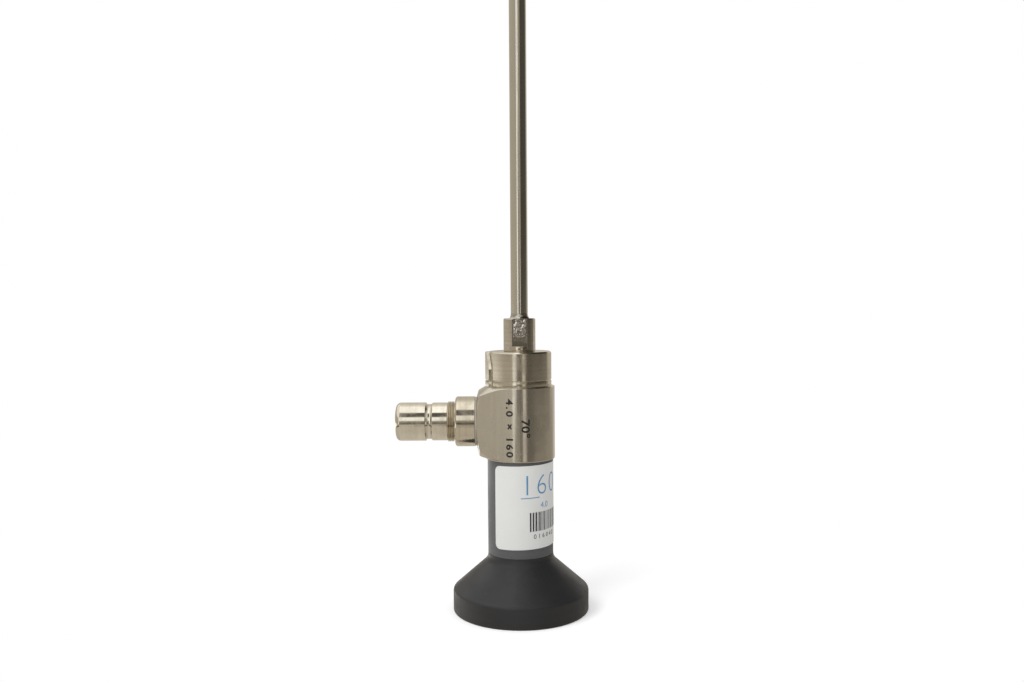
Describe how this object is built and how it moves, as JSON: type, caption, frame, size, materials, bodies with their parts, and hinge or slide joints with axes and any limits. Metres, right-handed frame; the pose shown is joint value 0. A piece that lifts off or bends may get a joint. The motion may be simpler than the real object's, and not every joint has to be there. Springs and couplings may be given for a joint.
{
  "type": "rigid endoscope",
  "caption": "Rigid endoscope for looking into joints: slim steel shaft with an oblique tip, light post, grip and eyecup, with its optics inside.",
  "frame": {"origin": "centre of the eyecup's rim, in the plane that it stands on", "axes": "+Z along the optical axis towards the shaft's tip, -X along the light post, away from the body; the oblique tip looks towards +X"},
  "size_m": [0.0451, 0.032, 0.2288],
  "materials": {
    "satin_steel": "satin, finely turned",
    "shaft_steel": "drawn and polished",
    "solder": "bright solder",
    "eyecup_plastic": "satin black, turned",
    "grip_plastic": "satin dark grey",
    "label_film": "white film",
    "seal_rubber": "matt black",
    "light_fibres": "polished fibre ends",
    "optical_glass": "polished and coated",
    "black_metal": "matt black anodised"
  },
  "bodies": {
    "root": {"barrel_o_ring": "seal_rubber", "body_block": "satin_steel", "distal_window": "optical_glass", "eyecup": "eyecup_plastic", "eyepiece_barrel": "black_metal", "fibre_bundle": "light_fibres", "fibre_ferrule": "shaft_steel", "field_stop": "black_metal", "grip_sleeve": "grip_plastic", "hub": "satin_steel", "inner_tube": "shaft_steel", "label": "label_film", "light_post": "satin_steel", "nose_collar": "satin_steel", "objective_crown_lens": "optical_glass", "objective_flint_lens": "optical_glass", "objective_front_lens": "optical_glass", "objective_stop": "black_metal", "ocular_cell": "black_metal", "ocular_crown_lens": "optical_glass", "ocular_eye_lens": "optical_glass", "ocular_flint_lens": "optical_glass", "ocular_lock_ring": "black_metal", "ocular_spacer": "black_metal", "ocular_window": "optical_glass", "outer_tube": "shaft_steel", "post_adapter": "satin_steel", "post_ring": "seal_rubber", "prism": "optical_glass", "relay_bush": "black_metal", "rod_lens_1": "optical_glass", "rod_lens_2": "optical_glass", "rod_lens_3": "optical_glass", "rod_lens_4": "optical_glass", "rod_lens_5": "optical_glass", "rod_lens_6": "optical_glass", "rod_spacer_1": "black_metal", "rod_spacer_2": "black_metal", "rod_spacer_3": "black_metal", "rod_spacer_4": "black_metal", "rod_spacer_5": "black_metal", "rod_spacer_6": "black_metal", "rod_spacer_7": "black_metal", "solder_bead": "solder", "window_gasket": "seal_rubber", "window_ring": "black_metal"}
  },
  "joints": []
}
